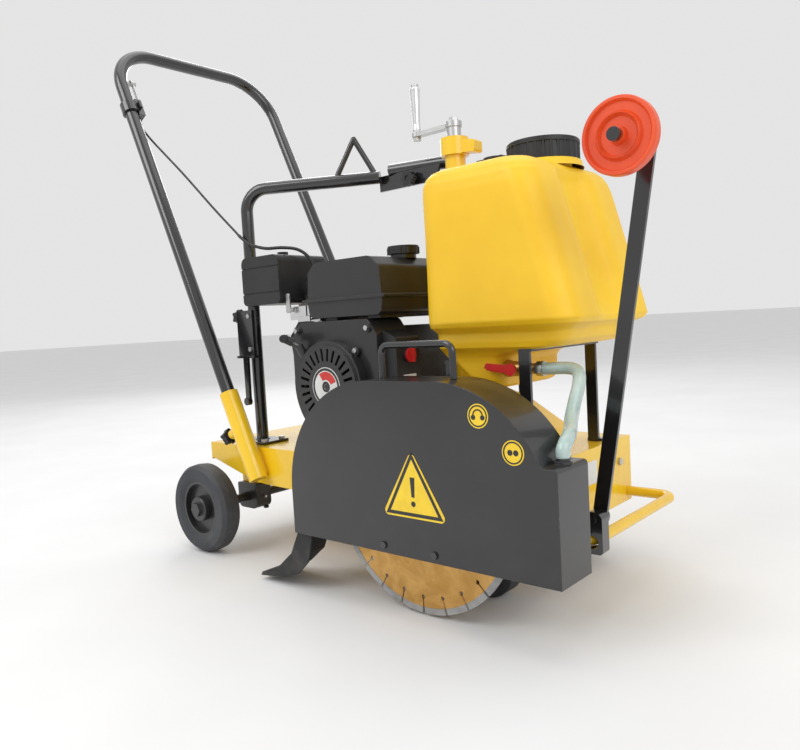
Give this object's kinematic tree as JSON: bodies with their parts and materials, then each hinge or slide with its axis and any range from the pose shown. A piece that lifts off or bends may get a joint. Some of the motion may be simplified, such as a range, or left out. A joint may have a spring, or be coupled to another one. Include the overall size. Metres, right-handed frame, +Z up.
{
  "type": "walk-behind concrete saw",
  "caption": "Walk-behind saw for concrete: petrol engine and water tank on a wheeled deck, guarded diamond blade, depth crank, pointer arm and push handle.",
  "frame": {"origin": "on the ground, on the mid-plane of the deck, under the rear axle", "axes": "+X forward, +Y to the left of the operator, +Z up; the blade is on the right side (-Y)"},
  "size_m": [1.2756, 0.581, 1.1384],
  "materials": {
    "yellow_paint": "gloss",
    "black_paint": "gloss",
    "rubber": "matte",
    "yellow_plastic": "satin",
    "black_plastic": "satin",
    "brass": "machined",
    "alloy": "polished",
    "muffler_steel": "heat-dulled",
    "zinc_steel": "zinc plated",
    "label": "printed film",
    "yellow_label": "printed film",
    "tyre": "matte",
    "blade_gold": "lacquered",
    "segment": "sintered",
    "clear_hose": "translucent",
    "orange_red": "gloss",
    "red_grip": "gloss",
    "rope": "braided"
  },
  "bodies": {
    "chassis": {"deck": "yellow_paint", "handle_sockets": "yellow_paint", "axle_housings": "black_paint", "front_bumper": "yellow_paint", "lifting_frame": "black_paint", "screw_column": "yellow_paint", "tank_stand": "black_paint", "water_tank": "yellow_plastic", "tank_strap": "black_plastic", "outlet_valve": "brass", "belt_guard": "yellow_paint", "drive_belts": "rubber", "engine_block": "black_paint", "cylinder_shroud": "black_paint", "fan_cover": "black_paint", "recoil_cover": "black_paint", "fuel_tank": "black_paint", "air_cleaner": "black_plastic", "carburettor": "alloy", "muffler": "muffler_steel", "switch_box": "black_plastic", "control_bracket": "black_paint", "bearing_blocks": "black_paint", "pointer_bracket": "black_paint", "fasteners": "zinc_steel", "labels": "label", "water_hose": "clear_hose", "starter_rope": "rope"},
    "handle": {"handlebar": "black_paint", "throttle_bracket": "black_paint", "throttle_cable": "black_plastic"},
    "throttle": {"throttle_lever": "zinc_steel"},
    "knob_near": {"socket_knob_near": "black_plastic"},
    "knob_far": {"socket_knob_far": "black_plastic"},
    "knob_frame": {"frame_knob": "black_plastic"},
    "knob_column": {"column_knob": "black_plastic"},
    "depth_crank": {"crank": "zinc_steel"},
    "depth_grip": {"crank_grip": "alloy"},
    "depth_rod": {"lift_rod": "zinc_steel"},
    "front_carriage": {"carriage": "yellow_paint"},
    "front_wheels": {"front_tyres": "tyre", "front_axle": "zinc_steel"},
    "rear_wheels": {"rear_tyres": "tyre", "rear_axle": "black_paint"},
    "blade": {"blade_shaft": "zinc_steel", "blade_core": "blade_gold", "blade_segments": "segment"},
    "crankshaft": {"engine_pulley": "zinc_steel"},
    "guard": {"blade_guard": "black_paint", "guard_handle": "zinc_steel", "guard_flap": "rubber", "guard_labels": "yellow_label"},
    "pointer": {"pointer_arm": "black_paint"},
    "pointer_roller": {"pointer_wheel": "orange_red"},
    "valve_lever": {"valve_handle": "red_grip"},
    "filler_cap": {"tank_cap": "black_plastic"},
    "petrol_cap": {"fuel_cap": "black_plastic"},
    "starter": {"recoil_grip": "black_plastic"},
    "choke": {"choke_lever": "zinc_steel"},
    "engine_switch": {"switch_rocker": "red_grip"}
  },
  "joints": [
    {"name": "handle_slide", "type": "slide", "parent": "chassis", "child": "handle", "axis": [-0.4179, 0, 0.9085], "range_m": [-0.03, 0.08], "deforming": ["throttle_cable"]},
    {"name": "throttle_swing", "type": "hinge", "parent": "handle", "child": "throttle", "pos_m": [-0.22585, -0.2, 0.97722], "axis": [0, 1, 0], "range_deg": [-20, 25]},
    {"name": "knob_near_turn", "type": "hinge", "parent": "chassis", "child": "knob_near", "pos_m": [0.06709, -0.22, 0.2446], "axis": [-0.9085, 0, -0.4179], "range_deg": [0, 360]},
    {"name": "knob_far_turn", "type": "hinge", "parent": "chassis", "child": "knob_far", "pos_m": [0.06709, 0.22, 0.2446], "axis": [-0.9085, 0, -0.4179], "range_deg": [0, 360]},
    {"name": "frame_knob_turn", "type": "hinge", "parent": "chassis", "child": "knob_frame", "pos_m": [0.053, -0.16, 0.488], "axis": [-1, 0, 0], "range_deg": [0, 360]},
    {"name": "column_knob_turn", "type": "hinge", "parent": "chassis", "child": "knob_column", "pos_m": [0.412, -0.009, 0.731], "axis": [0, -1, 0], "range_deg": [0, 360]},
    {"name": "crank_turn", "type": "hinge", "parent": "chassis", "child": "depth_crank", "pos_m": [0.512, 0, 0.808], "axis": [0, 0, -1], "range_deg": [0, 1710]},
    {"name": "grip_spin", "type": "hinge", "parent": "depth_crank", "child": "depth_grip", "pos_m": [0.425, 0, 0.817], "axis": [0, 0, 1], "continuous": true},
    {"name": "rod_lift", "type": "slide", "parent": "chassis", "child": "depth_rod", "axis": [0, 0, 1], "range_m": [0, 0.057]},
    {"name": "carriage_swing", "type": "hinge", "parent": "chassis", "child": "front_carriage", "pos_m": [0.33, 0, 0.15], "axis": [0, -1, 0], "range_deg": [0, 17.29]},
    {"name": "front_wheel_spin", "type": "hinge", "parent": "front_carriage", "child": "front_wheels", "pos_m": [0.64, 0, 0.05], "axis": [0, 1, 0], "continuous": true},
    {"name": "rear_wheel_spin", "type": "hinge", "parent": "chassis", "child": "rear_wheels", "pos_m": [0, 0, 0.0925], "axis": [0, 1, 0], "continuous": true},
    {"name": "crankshaft_spin", "type": "hinge", "parent": "chassis", "child": "crankshaft", "pos_m": [0.339, 0, 0.348], "axis": [0, 1, 0], "continuous": true},
    {"name": "blade_spin", "type": "hinge", "parent": "chassis", "child": "blade", "pos_m": [0.6, 0, 0.179], "axis": [0, 1, 0], "continuous": true},
    {"name": "guard_tilt", "type": "hinge", "parent": "chassis", "child": "guard", "pos_m": [0.6, 0, 0.179], "axis": [0, -1, 0], "range_deg": [0, 12], "deforming": ["water_hose"]},
    {"name": "pointer_swing", "type": "hinge", "parent": "chassis", "child": "pointer", "pos_m": [0.827, -0.11, 0.152], "axis": [0, 1, 0], "range_deg": [0, 88]},
    {"name": "pointer_wheel_spin", "type": "hinge", "parent": "pointer", "child": "pointer_roller", "pos_m": [0.91806, -0.2, 0.67919], "axis": [0, 1, 0], "continuous": true},
    {"name": "valve_turn", "type": "hinge", "parent": "chassis", "child": "valve_lever", "pos_m": [0.68, -0.1123, 0.372], "axis": [0, -1, 0], "range_deg": [0, 90]},
    {"name": "filler_cap_lift", "type": "slide", "parent": "chassis", "child": "filler_cap", "axis": [0, 0, 1], "range_m": [0, 0.06]},
    {"name": "petrol_cap_lift", "type": "slide", "parent": "chassis", "child": "petrol_cap", "axis": [0, 0, 1], "range_m": [0, 0.04]},
    {"name": "starter_pull", "type": "slide", "parent": "chassis", "child": "starter", "axis": [-0.6202, -0.6202, 0.4802], "range_m": [0, 0.45], "stiffness_N_per_m": 20, "springref_m": -0.05, "deforming": ["starter_rope"]},
    {"name": "choke_turn", "type": "hinge", "parent": "chassis", "child": "choke", "pos_m": [0.224, -0.17, 0.494], "axis": [0, 1, 0], "range_deg": [0, 40]},
    {"name": "switch_turn", "type": "hinge", "parent": "chassis", "child": "engine_switch", "pos_m": [0.485, -0.128, 0.4], "axis": [1, 0, 0], "range_deg": [0, 60]}
  ],
  "couplings": [
    {"joint": "rod_lift", "follows": "crank_turn", "m_per_rad": 0.0019099},
    {"joint": "carriage_swing", "follows": "crank_turn", "ratio": 0.010111},
    {"joint": "blade_spin", "follows": "crankshaft_spin", "ratio": 0.8}
  ]
}
